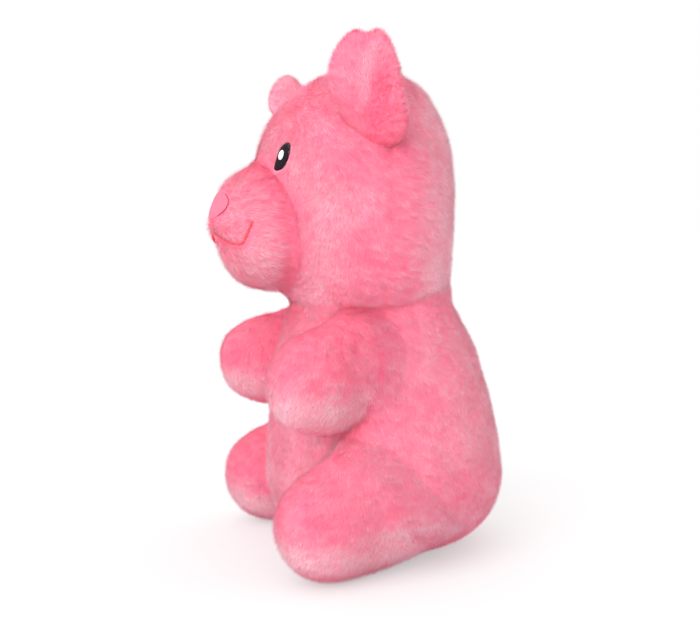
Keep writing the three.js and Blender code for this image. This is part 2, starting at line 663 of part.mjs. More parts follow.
// Face embroidery
for (const [name, side] of SIDES) {
  const eyePlace = new THREE.Vector3(side * EYE_SIDE, -HEAD_AXIS_AHEAD, CHEEK_HEIGHT + EYE_ABOVE_CHEEK);
  const eye = oval(EYE_HALF_WIDTH, EYE_HALF_HEIGHT, -side * EYE_TILT_DEGREES);
  const eyeLayer = embroidery(plainHead, eye, eyePlace, FIT).subtract(muzzle(FIT));
  addPiece(`${name}_eye`, eyeLayer, EYE_THREAD, 0.5);
  const glintPlace = eyePlace.clone().addScaledVector(UPWARD, GLINT_ABOVE_EYE);
  const glint = oval(GLINT_HALF_WIDTH, GLINT_HALF_HEIGHT, -side * EYE_TILT_DEGREES);
  const overEye = FIT + STITCH_HEIGHT + FIT;
  addPiece(`${name}_eye_glint`, embroidery(plainHead, glint, glintPlace, overEye), WHITE_THREAD, 0.5);
}
const nosePlace = new THREE.Vector3(0, -faceAhead, MUZZLE_HEIGHT + NOSE_ABOVE_MUZZLE);
const nose = oval(NOSE_HALF_WIDTH, NOSE_HALF_HEIGHT, 0);
addPiece('nose_patch', embroidery(muzzle, nose, nosePlace, FIT), NOSE_THREAD, 0.7);
const mouthPlace = new THREE.Vector3(0, -faceAhead, MUZZLE_HEIGHT - MOUTH_BELOW_MUZZLE);
addPiece('mouth_stitching', embroidery(muzzle, smile(), mouthPlace, FIT), MOUTH_RED, 0.6);

// Ears, arms and legs
for (const [name, side] of SIDES) {
  const ear = earLayers(side);
  addPiece(`${name}_ear_front`, ear.front, DEEP_PINK);
  addPiece(`${name}_ear_back`, ear.back, PINK);
  const arm = limbPieces(ARM, side, SIDEWAYS, -ARM_RAISE_DEGREES, ARM_DROP_DEGREES);
  addPiece(`${name}_arm_cover`, arm.cover, PINK);
  addPiece(`${name}_arm_filling`, arm.filling, FIBRE);
  const swing = side > 0 ? [-LEG_CLOSE_DEGREES, LEG_SPLAY_DEGREES] : [-LEG_SPLAY_DEGREES, LEG_CLOSE_DEGREES];
  const leg = limbPieces(LEG, side, UPWARD, ...swing);
  addPiece(`${name}_leg_cover`, leg.cover, PINK);
  addPiece(`${name}_leg_filling`, leg.filling, FIBRE);
}

export default toy;
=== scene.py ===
# Plush bear that sits: its fur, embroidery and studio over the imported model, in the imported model's frame.
import json

import bpy
import numpy as np
from mathutils import Matrix, Vector


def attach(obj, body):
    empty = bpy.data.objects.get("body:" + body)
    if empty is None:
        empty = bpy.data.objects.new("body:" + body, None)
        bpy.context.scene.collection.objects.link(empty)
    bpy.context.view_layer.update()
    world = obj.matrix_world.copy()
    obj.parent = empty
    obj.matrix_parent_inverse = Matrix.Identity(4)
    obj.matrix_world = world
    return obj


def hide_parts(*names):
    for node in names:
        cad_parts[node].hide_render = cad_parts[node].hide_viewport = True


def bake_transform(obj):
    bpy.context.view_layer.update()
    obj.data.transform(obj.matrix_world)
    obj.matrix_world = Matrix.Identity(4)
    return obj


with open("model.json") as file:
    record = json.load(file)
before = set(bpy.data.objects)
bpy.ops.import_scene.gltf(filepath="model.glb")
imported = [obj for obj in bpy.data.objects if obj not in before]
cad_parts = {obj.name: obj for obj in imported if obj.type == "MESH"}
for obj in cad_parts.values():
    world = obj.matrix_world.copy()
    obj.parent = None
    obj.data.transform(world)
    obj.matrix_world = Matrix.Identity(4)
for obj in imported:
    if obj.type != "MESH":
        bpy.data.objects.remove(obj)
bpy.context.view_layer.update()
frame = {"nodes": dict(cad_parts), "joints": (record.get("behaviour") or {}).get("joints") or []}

# Studio. A white floor that runs on to a white surround, lit evenly from all round and by one broad soft
# light from high on the camera's left. The camera stands at the bear's left side, a little ahead of it.
MM = 0.001
CAMERA_TURN = np.radians(72)  # from straight in front of the bear towards its left
CAMERA_DISTANCE = 482 * MM
CAMERA_SIDE = 16.85 * MM
CAMERA_HEIGHT = 141.5 * MM
CAMERA_PITCH = np.radians(3.63)
FLOOR_HALF = 6.0
FLOOR_BELOW = 0.2 * MM  # the floor lies this far under the fur
LAMP_STRENGTH = 1.9
LAMP_SPREAD = np.radians(60)

scene = bpy.context.scene
scene.view_settings.view_transform = "Standard"


def new_material(name, base=(0.8, 0.8, 0.8), rough=0.9, specular=0.3):
    """A node material with a Principled shader whose plain values are set on its own sockets."""
    material = bpy.data.materials.new(name)
    material.use_nodes = True
    shader = material.node_tree.nodes["Principled BSDF"]
    shader.inputs["Base Color"].default_value = (*base, 1)
    shader.inputs["Roughness"].default_value = rough
    shader.inputs["Specular IOR Level"].default_value = specular
    return material, shader


def add_object(name, mesh, material):
    """An object at the origin, in the scene, that wears one material."""
    piece = bpy.data.objects.new(name, mesh)
    mesh.materials.append(material)
    scene.collection.objects.link(piece)
    return piece


floor_mesh = bpy.data.meshes.new("floor")
square = FLOOR_HALF * np.array([(-1, -1, 0), (1, -1, 0), (1, 1, 0), (-1, 1, 0)])
floor_mesh.from_pydata((square - (0, 0, FLOOR_BELOW)).tolist(), [], [(0, 1, 2, 3)])
floor_paint, floor_shader = new_material("floor_paint", rough=1.0, specular=0.0)
nodes, links = floor_paint.node_tree.nodes, floor_paint.node_tree.links
path = nodes.new("ShaderNodeLightPath")
looked_at = path.outputs["Is Camera Ray"]
for kind in ("Is Glossy Ray", "Is Transmission Ray"):
    either = nodes.new("ShaderNodeMath")
    either.operation = "MAXIMUM"
    links.new(looked_at, either.inputs[0])
    links.new(path.outputs[kind], either.inputs[1])
    looked_at = either.outputs[0]
# Rays that carry light meet a pale matt floor, and those that show it meet one that glows to white.
for entry, lit, shown in (("Base Color", 0.9, 0.5), ("Emission Strength", 0, 0.46)):
    level = nodes.new("ShaderNodeMapRange")
    level.inputs["To Min"].default_value = lit
    level.inputs["To Max"].default_value = shown
    links.new(looked_at, level.inputs["Value"])
    links.new(level.outputs[0], floor_shader.inputs[entry])
floor_shader.inputs["Emission Color"].default_value = (1, 1, 1, 1)
add_object("floor", floor_mesh, floor_paint)

world = bpy.data.worlds.new("surround")
scene.world = world
world.use_nodes = True
surround = world.node_tree.nodes["Background"]
surround.inputs["Color"].default_value = (1, 1, 1, 1)
surround.inputs["Strength"].default_value = 1.0

right = Vector((np.cos(CAMERA_TURN), np.sin(CAMERA_TURN), 0))
toward = Vector((np.sin(CAMERA_TURN), -np.cos(CAMERA_TURN), 0))
forward = -toward * np.cos(CAMERA_PITCH) - Vector((0, 0, np.sin(CAMERA_PITCH)))
upward = right.cross(forward)
camera_data = bpy.data.cameras.new("camera")
camera_data.sensor_width = 36
camera_data.lens = 36 * 1000 / 700  # a focal length of 1000 pixels in a frame 700 wide
camera = bpy.data.objects.new("camera", camera_data)
place = toward * CAMERA_DISTANCE - right * CAMERA_SIDE + Vector((0, 0, CAMERA_HEIGHT))
camera.matrix_world = Matrix.Translation(place) @ Matrix((right, upward, -forward)).transposed().to_4x4()
scene.collection.objects.link(camera)
scene.camera = camera

lamp_data = bpy.data.lights.new("key", "SUN")
lamp_data.energy = LAMP_STRENGTH
lamp_data.angle = LAMP_SPREAD
lamp = bpy.data.objects.new("key", lamp_data)
lamp_from = toward * 0.85 - right * 0.52 + Vector((0, 0, 0.45))
lamp.rotation_euler = lamp_from.to_track_quat("Z", "Y").to_euler()
scene.collection.objects.link(lamp)

# Body. A pear of soft pile fabric stuffed with fibre, sewn of a left and a right panel and closed by a
# panel under the seat. Backing and pile are modelled apart: a stuffed skin with the fur laid on it.
PILE_DEPTH = 0.8  # how far the fur stands over its backing
BODY = {
    "bottom": -0.5, "belt": 40, "top": 129, "low_round": 2.75, "high_round": 16, "radius": 50,
    "width": [(0, 58), (40, 60), (89, 51), (116.5, 44)],
    "front": [(0, 55), (40, 57), (89, 53), (116.5, 46)],
    "back": [(0, 52), (40, 55), (89, 44), (116.5, 30)],
}


def through(stations, at):
    """Smooth curve through stations of place and size: a cubic from each to the next, whose slope at a
    station is that between the stations on either side of it."""
    place, size = np.array(stations, float).T
    near = np.clip(np.arange(len(place))[:, None] + (-1, 1), 0, len(place) - 1)
    slope = (np.diff(size[near]) / np.diff(place[near]))[:, 0]
    i = np.clip(np.searchsorted(place, at) - 1, 0, len(place) - 2)
    span = place[i + 1] - place[i]
    t = np.clip((at - place[i]) / span, 0, 1)
    bend = slope[i] * t * (1 - t) ** 2 + slope[i + 1] * t * t * (t - 1)
    return size[i] + (size[i + 1] - size[i]) * t * t * (3 - 2 * t) + span * bend


def stuffed(form, rows, columns):
    """Grid of rings along an axis: half width, front and back follow smooth curves, and each end closes as a
    superellipse, the root of 1 - along^roundness. All lie a pile's depth inside the form, and rows are evenly
    spaced down the profile."""
    along = np.sin(np.linspace(-np.pi / 2, np.pi / 2, 3001))
    roundness = np.where(along < 0, form["low_round"], form["high_round"])
    across = (1 - np.abs(along) ** roundness) ** (1 / roundness)
    end = np.where(along < 0, form["bottom"] + PILE_DEPTH, form["top"] - PILE_DEPTH)
    place = form["belt"] + (end - form["belt"]) * np.abs(along)
    step = np.hypot(np.diff(place), np.diff(across * through(form["width"], place)))
    length = np.concatenate([[0], np.cumsum(step)])
    even = np.linspace(0, length[-1], rows)
    place, across = np.interp(even, length, place)[:, None], np.interp(even, length, across)[:, None]
    turn = np.linspace(0, 2 * np.pi, columns, endpoint=False)
    depth = np.where(np.sin(turn) > 0, through(form["back"], place), through(form["front"], place))
    x = (through(form["width"], place) - PILE_DEPTH) * across * np.cos(turn)
    y = (depth - PILE_DEPTH) * across * np.sin(turn)
    return np.stack([x, y, np.broadcast_to(place, x.shape)], axis=-1)


def outside(form, local):
    """About how far points in a form's own axes lie outside its skin: a superellipse of the share of the ring
    and the share of the way to the end, less one, times the form's mean radius."""
    x, y, z = np.moveaxis(local, -1, 0)
    low = z < form["belt"]
    power = np.where(low, form["low_round"], form["high_round"])
    end = np.where(low, form["bottom"] + PILE_DEPTH, form["top"] - PILE_DEPTH)
    along = np.abs((z - form["belt"]) / (end - form["belt"]))
    depth = np.where(y > 0, through(form["back"], z), through(form["front"], z)) - PILE_DEPTH
    ring = np.hypot(x / (through(form["width"], z) - PILE_DEPTH), y / depth)
    return ((ring ** power + along ** power) ** (1 / power) - 1) * form["radius"]


def cover(name, grid, material):
    """Closed mesh of a grid whose columns run round and whose first and last rows are single points."""
    rows, columns = grid.shape[:2]
    points = np.concatenate([grid[:1, 0], grid[1:-1].reshape(-1, 3), grid[-1:, 0]]) * MM
    ring = 1 + np.arange(columns)
    after = np.roll(ring, -1)
    start = np.arange(rows - 3)[:, None] * columns
    quads = np.stack([start + ring, start + after, start + after + columns, start + ring + columns], axis=-1)
    last = (rows - 3) * columns
    low = np.stack([np.zeros_like(ring), after, ring], axis=-1)
    high = np.stack([last + ring, last + after, np.full_like(ring, len(points) - 1)], axis=-1)
    mesh = bpy.data.meshes.new(name)
    mesh.from_pydata(points.tolist(), [], low.tolist() + quads.reshape(-1, 4).tolist() + high.tolist())
    mesh.shade_smooth()
    return add_object(name, mesh, material)


def eased(value):
    """0 below 0, 1 above 1 and a smooth step between."""
    t = np.clip(value, 0, 1)
    return t * t * (3 - 2 * t)


def unit(vectors):
    """Vectors over their lengths."""
    return vectors / np.maximum(np.linalg.norm(vectors, axis=-1, keepdims=True), 1e-9)


def outward(grid):
    """Outward normals of a closed grid: its way round crossed with its way up. The poles take the mean of
    the rings beside them."""
    normal = np.cross(np.roll(grid, -1, 1) - np.roll(grid, 1, 1), np.gradient(grid, axis=0))
    normal[0], normal[-1] = normal[1].mean(axis=0), normal[-2].mean(axis=0)
    return unit(normal)


def scatter(cell, seed):
    """A repeatable number from 0 to 1 for each whole-numbered cell, from its three numbers' mixed bits."""
    c = cell.astype(np.int64).view(np.uint64)
    h = c[..., 0] * np.uint64(0x9E3779B185EBCA87) + c[..., 1] * np.uint64(0xC2B2AE3D27D4EB4F)
    h += c[..., 2] * np.uint64(0x165667B19E3779F9) + np.uint64(seed * 0x27D4EB2F165667)
    for shift in (33, 29, 32):
        h = (h ^ (h >> np.uint64(shift))) * np.uint64(0xFF51AFD7ED558CCD)
    return (h >> np.uint64(40)).astype(np.float32) / np.float32(1 << 24)


def drift(place, size, seed):
    """Smooth noise from -1 to 1: scattered numbers on a cubic lattice of that size, with eased blends."""
    spot = place / size + 0.37 * seed
    corner = np.floor(spot)
    t = eased(spot - corner)
    total = 0
    for i in np.ndindex(2, 2, 2):
        weight = np.prod(np.where(i, t, 1 - t), axis=-1)
        total = total + weight * scatter(corner + i, seed)
    return 2 * total - 1


CRINKLE = 1.3  # height of the ripples in which tufts of pile overlap, which are wider than high
CRINKLE_FLATNESS = np.array([0.36, 0.36, 1])
PILE_PER_MM2, PILE_LENGTH, STRAND_WIDTH = 8, 3.4, 0.27
PILE_LEAN, STRAY_LEAN, STRAY_SPREAD = 85, 53, 14  # degrees from upright
STRAY_WIDTH, STRAY_REACH = 0.45, 0.8  # of the other strands'
STRAY_BACK = 0.02  # how far a stray's back lies below its face
ROOT_DEPTH = 0.2  # how far roots sit in the backing
FLOOR_CLEAR = 0.15  # least height of a strand over the floor


def lay_pile(grid, seed, comb, tint, length=PILE_LENGTH):
    """Strands over a grid, each a blade from its root to its tip. Roots are strewn in proportion to area.
    Most blades lie along the comb's direction, which wanders in drifts. Two in five are strays: they are
    finer, stand up and have a back as well."""
    draw = np.random.default_rng(seed)
    a, d = grid[:-1], grid[1:]
    b, c = np.roll(a, -1, 1), np.roll(d, -1, 1)
    area = np.linalg.norm(np.cross(c - a, d - b), axis=-1).ravel() / 2
    count = int(area.sum() * PILE_PER_MM2)
    cell = np.searchsorted(np.cumsum(area), draw.random(count) * area.sum())
    row, column = np.unravel_index(cell, a.shape[:2])
    after = (column + 1) % a.shape[1]
    u, v = draw.random((2, count, 1))

    def at_roots(field):
        """A grid's values at the roots, each mixed from the four corners of its cell."""
        near = (1 - u) * field[row, column] + u * field[row, after]
        far = (1 - u) * field[row + 1, column] + u * field[row + 1, after]
        return (1 - v) * near + v * far

    place, normal = at_roots(grid), unit(at_roots(outward(grid)))
    patch, lock = drift(place, 19, seed), drift(place, 6, seed + 1)
    wander = np.stack([drift(place, 9, seed + k) for k in (2, 3, 4)], axis=-1)
    crinkle = drift(place * CRINKLE_FLATNESS, CRINKLE, seed + 5)
    slope = crinkle - drift((place + (0, 0, CRINKLE / 2)) * CRINKLE_FLATNESS, CRINKLE, seed + 5)
    own = draw.uniform(-1, 1, (count, 6))
    stray = own[:, 4:5] > 0.2
    way = unit(comb(place, normal)) + 0.4 * wander + 0.2 * own[:, :3]
    way = unit(way - normal * np.sum(way * normal, axis=-1, keepdims=True))
    tilt = np.where(stray, STRAY_LEAN + STRAY_SPREAD * own[:, 3:4], PILE_LEAN + 2.5 * own[:, 3:4])
    tilt = np.radians(tilt)
    aim = normal * np.cos(tilt) + way * np.sin(tilt)
    side = unit(np.cross(aim, normal)) * np.where(stray, STRAY_WIDTH, 1) * STRAND_WIDTH / 2
    reach = length * np.where(stray, STRAY_REACH, 1) * (1 + 0.15 * own[:, 5:6])
    root, tip = place - ROOT_DEPTH * normal, place + aim * reach
    corners = np.stack([root - side, root + side, tip], axis=1)
    corners[..., 2] = np.maximum(corners[..., 2], FLOOR_CLEAR)
    shade = unit(normal + 0.8 * slope[:, None] * (0, 0, 1) + 0.22 * own[:, :3])
    # The tint rises and falls with the ripples as painted light and shade of the overlapping tufts. Patch,
    # lock and each strand's own share are tone that differs at random.
    hue = tint(place, normal) + 0.17 * patch + 0.08 * lock + 0.24 * crinkle
    hue = hue + 0.22 * own[:, 0] + 0.06 * stray[:, 0]
    under = unit(aim * np.sum(aim * normal, axis=-1, keepdims=True) - normal)
    backs = (corners + STRAY_BACK * under[:, None])[:, [1, 0, 2]][stray[:, 0]]
    both = np.concatenate([np.arange(count), np.flatnonzero(stray)])
    shade = np.concatenate([shade, unit(way + 0.22 * own[:, :3])[stray[:, 0]]])
    return {"place": place[both], "corners": np.concatenate([corners, backs]), "shade": shade,
            "tint": np.clip(hue, 0, 1)[both]}


def pile_piece(name, pile, chosen):
    """Mesh of the chosen strands, three corners each. Its attribute holds a strand's tint and the way along
    it, and its map lays the same two numbers out as a chart of the pile's colours."""
    corners, tint = pile["corners"][chosen], pile["tint"][chosen]
    count = len(corners)
    mesh = bpy.data.meshes.new(name)
    mesh.vertices.add(3 * count)
    mesh.loops.add(3 * count)
    mesh.polygons.add(count)
    mesh.vertices.foreach_set("co", (corners * MM).astype(np.float32).ravel())
    mesh.loops.foreach_set("vertex_index", np.arange(3 * count, dtype=np.int32))
    mesh.polygons.foreach_set("loop_start", np.arange(0, 3 * count, 3, dtype=np.int32))
    mesh.update(calc_edges=True)
    along = np.array([0, 0, 1.0])
    held = np.stack(np.broadcast_arrays(tint[:, None], along, 0.0), axis=-1).astype(np.float32)
    mesh.attributes.new("pile", "FLOAT_VECTOR", "POINT").data.foreach_set("vector", held.ravel())
    chart = np.stack(np.broadcast_arrays(0.02 + 0.96 * tint[:, None] + 0.004 * np.array([-1, 1, 0]),
                                         0.02 + 0.96 * along), axis=-1).astype(np.float32)
    mesh.uv_layers.new(name="OFBake").data.foreach_set("uv", chart.ravel())
    mesh.normals_split_custom_set_from_vertices(np.repeat(pile["shade"][chosen], 3, axis=0).tolist())
    return add_object(name, mesh, pile_fur)


def linear(red, green, blue):
    """A screen colour of 0 to 255 as the linear one that shaders take."""
    s = np.array([red, green, blue]) / 255
    return tuple(np.where(s <= 0.04045, s / 12.92, ((s + 0.055) / 1.055) ** 2.4).tolist())


pile_fur, shader = new_material("pile_fur", rough=0.85, specular=0.15)
shader.inputs["Sheen Weight"].default_value = 0.25
shader.inputs["Sheen Roughness"].default_value = 0.5
shader.inputs["Sheen Tint"].default_value = (1, 0.75, 0.8, 1)
nodes, links = pile_fur.node_tree.nodes, pile_fur.node_tree.links
held, split = nodes.new("ShaderNodeAttribute"), nodes.new("ShaderNodeSeparateXYZ")
held.attribute_name = "pile"
shades, fade = nodes.new("ShaderNodeValToRGB"), nodes.new("ShaderNodeMapRange")
root_shaded = nodes.new("ShaderNodeMix")
stops = shades.color_ramp.elements
stops[0].color = (*linear(255, 108, 145), 1)
stops[1].color = (*linear(255, 216, 226), 1)
stops.new(0.35).color = (*linear(255, 150, 179), 1)
stops.new(0.7).color = (*linear(255, 188, 207), 1)
fade.inputs["From Max"].default_value = 0.75
root_shaded.data_type = "RGBA"
# The roots' deeper pink fades out three quarters of the way up each strand. It is painted shade deep in the
# pile.
root_shaded.inputs["A"].default_value = (*linear(255, 126, 156), 1)
links.new(held.outputs["Vector"], split.inputs[0])
links.new(split.outputs["X"], shades.inputs["Fac"])
links.new(split.outputs["Y"], fade.inputs["Value"])
links.new(fade.outputs[0], root_shaded.inputs["Factor"])
links.new(shades.outputs["Color"], root_shaded.inputs["B"])
links.new(root_shaded.outputs["Result"], shader.inputs["Base Color"])

backing, shader = new_material("backing", rough=0.95, specular=0.1)
nodes, links = backing.node_tree.nodes, backing.node_tree.links
where, knit = nodes.new("ShaderNodeTexCoord"), nodes.new("ShaderNodeTexNoise")
shades, bump = nodes.new("ShaderNodeValToRGB"), nodes.new("ShaderNodeBump")
knit.inputs["Scale"].default_value = 900
knit.inputs["Detail"].default_value = 2
shades.color_ramp.elements[0].color = (*linear(255, 120, 150), 1)
shades.color_ramp.elements[1].color = (*linear(255, 148, 172), 1)
bump.inputs["Strength"].default_value = 0.4
bump.inputs["Distance"].default_value = 0.0004
links.new(where.outputs["Object"], knit.inputs["Vector"])
links.new(knit.outputs["Fac"], shades.inputs["Fac"])
links.new(shades.outputs["Color"], shader.inputs["Base Color"])
links.new(knit.outputs["Fac"], bump.inputs["Height"])
links.new(bump.outputs["Normal"], shader.inputs["Normal"])

pivots = {joint["name"]: np.array(joint["pos_m"]) / MM for joint in frame["joints"]}
ARM = {
    "bottom": -52, "belt": 24, "top": 55.5, "low_round": 1.7, "high_round": 2.5, "radius": 20,
    "width": [(0, 16), (55.5, 17)], "front": [(0, 23), (55.5, 22)], "back": [(0, 25), (55.5, 22)],
}
LEG = {
    "bottom": -46, "belt": 22, "top": 52, "low_round": 1.8, "high_round": 2.3, "radius": 20,
    "width": [(0, 20), (52, 22)], "front": [(0, 25.5), (52, 24.5)], "back": [(0, 25.5), (52, 24)],
}
# Each limb's joint, form, slope to the side, droop, and how far its root is drawn in
LIMBS = (("arm", "arm_swing", ARM, 0.32, 0.12, 11), ("leg", "leg_splay", LEG, 0.2, 0, 6))
RUN = 20  # reach of the soft run from the body into a limb
RISE = 12  # most that a skin rises for it
HIDDEN = 8  # depth inside another piece from which fur is left out
SIDES = ((1, "left"), (-1, "right"))


def limb_axes(side, slope, droop):
    """Columns are a limb's own axes: across it, up, and out to its tip."""
    along = Vector((side * slope, -1, -droop)).normalized()
    turn = np.array(Vector((0, -1, 0)).rotation_difference(along).to_matrix())
    return turn @ np.array([[1, 0, 0], [0, 0, -1], [0, 1, 0]])


def drawn_in(local, inward):
    """Points in a limb's axes shifted across it, wholly at its root and by less than half to its tip."""
    x, y, z = np.moveaxis(local, -1, 0)
    return np.stack([x + inward * (0.45 + 0.55 * eased(1 - z / 36)), y, z], axis=-1)


def crease(local, limb, side):
    """1 where a limb keeps a crease against the body, on its inner side and below it, though not below an
    arm's root, and 0 elsewhere."""
    x, y, z = np.moveaxis(local, -1, 0)
    below = eased(0.1 - y / 18) * (eased((z - 2) / 16) if limb == "arm" else 1)
    inner = eased(-side * x / 12 - 0.1)
    return 1 - (1 - below) * (1 - inner)


def rise(gap, fold):
    """How far a skin may rise to meet the other's soft run: not at all deep inside it or along a crease."""
    return RISE * eased(1 + gap / 8) * (1 - fold * eased(1 - gap / 8))


def limb_gaps(p):
    """For each limb, about how far points lie outside it and how creased it is there."""
    for side, name in SIDES:
        for limb, joint, form, slope, droop, sink in LIMBS:
            local = drawn_in((p - pivots[f"{name}_{joint}"]) @ limb_axes(side, slope, droop), side * sink)
            yield outside(form, local), crease(local, limb, side)


def joined(p):
    """About how far points lie outside the body with its limbs: the nearest of the five forms, where the step
    from one to another is rounded over the reach of their soft run."""
    total = outside(BODY, p)
    x, y, z = np.moveaxis(p, -1, 0)
    room = eased((np.abs(x) - 20) / 20) * eased((28 - y) / 30) * eased((124 - z) / 14)
    for gap, fold in limb_gaps(p):
        soft = 2 + RUN * (1 - fold) * room
        share = np.clip(0.5 + 0.5 * (total - gap) / soft, 0, 1)
        total = total + (gap - total) * share - soft * share * (1 - share)
    return total


def found_along(start, way, far, gap_at, halvings=34):
    """Points where lines from start leave a form, by halving the span between inside and outside."""
    low, high = np.zeros(way.shape[:-1]), np.full(way.shape[:-1], far)
    for _ in range(halvings):
        middle = (low + high) / 2
        inside = gap_at(start + way * middle[..., None]) < 0
        low, high = np.where(inside, middle, low), np.where(inside, high, middle)
    return start + way * low[..., None]


body_grid = stuffed(BODY, 100, 132)
far = np.min([rise(gap, fold) for gap, fold in limb_gaps(body_grid)], axis=0)
body_grid = found_along(body_grid, outward(body_grid), far, joined, 12)
body_grid[..., 2] = np.maximum(body_grid[..., 2], PILE_DEPTH)


def body_comb(place, normal):
    """Down and a little back, and outward from the middle seam."""
    away = np.sign(place[:, 0]) * np.exp(-(place[:, 0] / 7) ** 2)
    return np.stack([0.25 * away, np.full(len(place), 0.25), np.full(len(place), -1.0)], axis=-1)


def body_tint(place, normal):
    """Paler towards the back and on the belly, deeper along the middle seam, on the shoulders and below."""
    seam = np.exp(-(place[:, 0] / 2) ** 2)
    low = eased((30 - place[:, 2]) / 30)
    shoulder = eased((place[:, 2] - 80) / 20) * eased(0.5 - normal[:, 1])
    belly = eased(-2.5 * normal[:, 1] - 1.2)
    return 0.45 + 0.28 * normal[:, 1] - 0.06 * seam - 0.1 * low - 0.28 * shoulder + 0.55 * belly


def crease_shaded_tint(place, normal):
    """The body's tint, deepened by painted shade along the creases that its limbs keep."""
    fold = np.max([fold * np.exp(-(gap / 5) ** 2) for gap, fold in limb_gaps(place)], axis=0)
    return body_tint(place, normal) - 0.45 * fold


body_skin = cover("body_skin", body_grid, backing)
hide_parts("body_left_cover", "body_right_cover", "seat_panel", "body_filling")
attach(body_skin, "torso")
body_pile = lay_pile(body_grid, 11, body_comb, crease_shaded_tint)
spot = body_pile["place"]
bare = np.min([gap for gap, fold in limb_gaps(spot)], axis=0) > -HIDDEN
for side, name in SIDES:
    for end, half in (("front", -1), ("back", 1)):
        chosen = bare & (side * spot[:, 0] > 0) & (half * spot[:, 1] > 0)
        panel = pile_piece(f"body_{name}_{end}_pile", body_pile, chosen)
        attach(panel, "torso")

# Head and muzzle. A rounded box of the same pile fabric, a face panel ahead of a seam that runs over the ears
# and a back panel, with the muzzle let into the face. It is sewn to the neck.
HEAD = {
    "bottom": 106, "belt": 161.5, "top": 225.5, "low_round": 10, "high_round": 2.5, "radius": 45,
    "width": [(116.5, 44), (131.5, 53), (161.5, 57), (225.5, 54)],
    "front": [(116.5, 34), (131.5, 40), (161.5, 46), (193.5, 51.5), (225.5, 42)],
    "back": [(116.5, 42), (131.5, 40), (161.5, 41), (225.5, 41)],
}
MUZZLE = {
    "bottom": -20, "belt": 15, "top": 42.5, "low_round": 6, "high_round": 2.3, "radius": 27,
    "width": [(0, 31), (42.5, 28)], "front": [(0, 32), (42.5, 31)], "back": [(0, 31), (42.5, 25)],
}
HEAD_AXIS_AHEAD, HEAD_SEAM_AHEAD, MUZZLE_HEIGHT = 12, 17, 153.5
MUZZLE_ROOT_AHEAD = HEAD_AXIS_AHEAD + float(through(HEAD["front"], MUZZLE_HEIGHT)) - MUZZLE["belt"]
MUZZLE_RUN = 7.0  # reach of the rounding where muzzle and head meet
HEAD_MIDDLE = np.array([0.0, -28, 158])
SEAM_DEPTH = 0.35
SMILE_LOW, SMILE_LOBE, SMILE_HALF, SMILE_PEAK, SMILE_CURL = 143.7, 19, 25, 5, 10
LIP_AHEAD, CHIN_BACK, LIP_FOLD = 0.9, 2.0, 1.0


def outside_head(p):
    """About how far points lie outside the head without its muzzle."""
    return outside(HEAD, p + (0, HEAD_AXIS_AHEAD, 0))


def outside_muzzle(p):
    """About how far points lie outside the muzzle, whose axis points ahead."""
    x, y, z = np.moveaxis(p, -1, 0)
    return outside(MUZZLE, np.stack([x, z - MUZZLE_HEIGHT, -y - MUZZLE_ROOT_AHEAD], axis=-1))


def outside_both(p):
    """The nearer of the two, rounded over where they meet."""
    head, muzzle = outside_head(p), outside_muzzle(p)
    share = np.clip(0.5 + 0.5 * (head - muzzle) / MUZZLE_RUN, 0, 1)
    return head + (muzzle - head) * share - MUZZLE_RUN * share * (1 - share)


def smile_height(x):
    """Two lobes side by side: a wave between them and a parabola up to each end."""
    x = np.clip(np.abs(x), 0, SMILE_HALF)
    inner = SMILE_PEAK * (1 + np.cos(np.pi * x / SMILE_LOBE)) / 2
    outer = SMILE_CURL * ((x - SMILE_LOBE) / (SMILE_HALF - SMILE_LOBE)) ** 2
    return SMILE_LOW + np.where(x < SMILE_LOBE, inner, outer)


def with_lips(p):
    """The lip drawn ahead over the smile, the chin set back under it, and a fold between."""
    x, y, z = np.moveaxis(p, -1, 0)
    below = smile_height(x) - z
    ahead = eased((-y - 60) / 12) * eased((30 - np.abs(x)) / 6)
    lip = LIP_AHEAD * eased((1 - below) / 4) * eased((16 + below) / 10)
    chin = CHIN_BACK * eased(below / 3) * eased((26 - below) / 20)
    back = chin - lip + LIP_FOLD * np.exp(-(below / 1.8) ** 2)
    return p + np.stack([np.zeros_like(x), back * ahead, np.zeros_like(x)], axis=-1)


polar, turn = np.linspace(0, np.pi, 130)[:, None], np.linspace(0, 2 * np.pi, 190, endpoint=False)
girth = np.sin(polar)
rays = np.stack(np.broadcast_arrays(girth * np.cos(turn), girth * np.sin(turn), -np.cos(polar)), axis=-1)
head_grid = with_lips(found_along(HEAD_MIDDLE, rays, 140.0, outside_both))
groove = SEAM_DEPTH * np.exp(-((head_grid[..., 1] + HEAD_SEAM_AHEAD) / 2.5) ** 2)
head_grid = head_grid - outward(head_grid) * groove[..., None]


def head_comb(place, normal):
    """Back and down over the head, forward and down on the cheeks by the muzzle, back from the muzzle's tip,
    and away on both sides of the seam."""
    y = place[:, 1]
    onto = outside_head(place) - outside_muzzle(place)
    cheek = eased((onto + 26) / 20)[:, None]
    way = (1 - cheek) * np.array([0, 0.8, -0.75]) + cheek * np.array([0, -0.55, -0.85])
    from_tip = unit(place - np.array([0, -100, 160]))
    muzzle = eased(onto / 5)[:, None]
    way = way * (1 - muzzle) + from_tip * muzzle
    way[:, 1] += 0.25 * np.sign(y + HEAD_SEAM_AHEAD) * np.exp(-((y + HEAD_SEAM_AHEAD) / 5) ** 2)
    return way


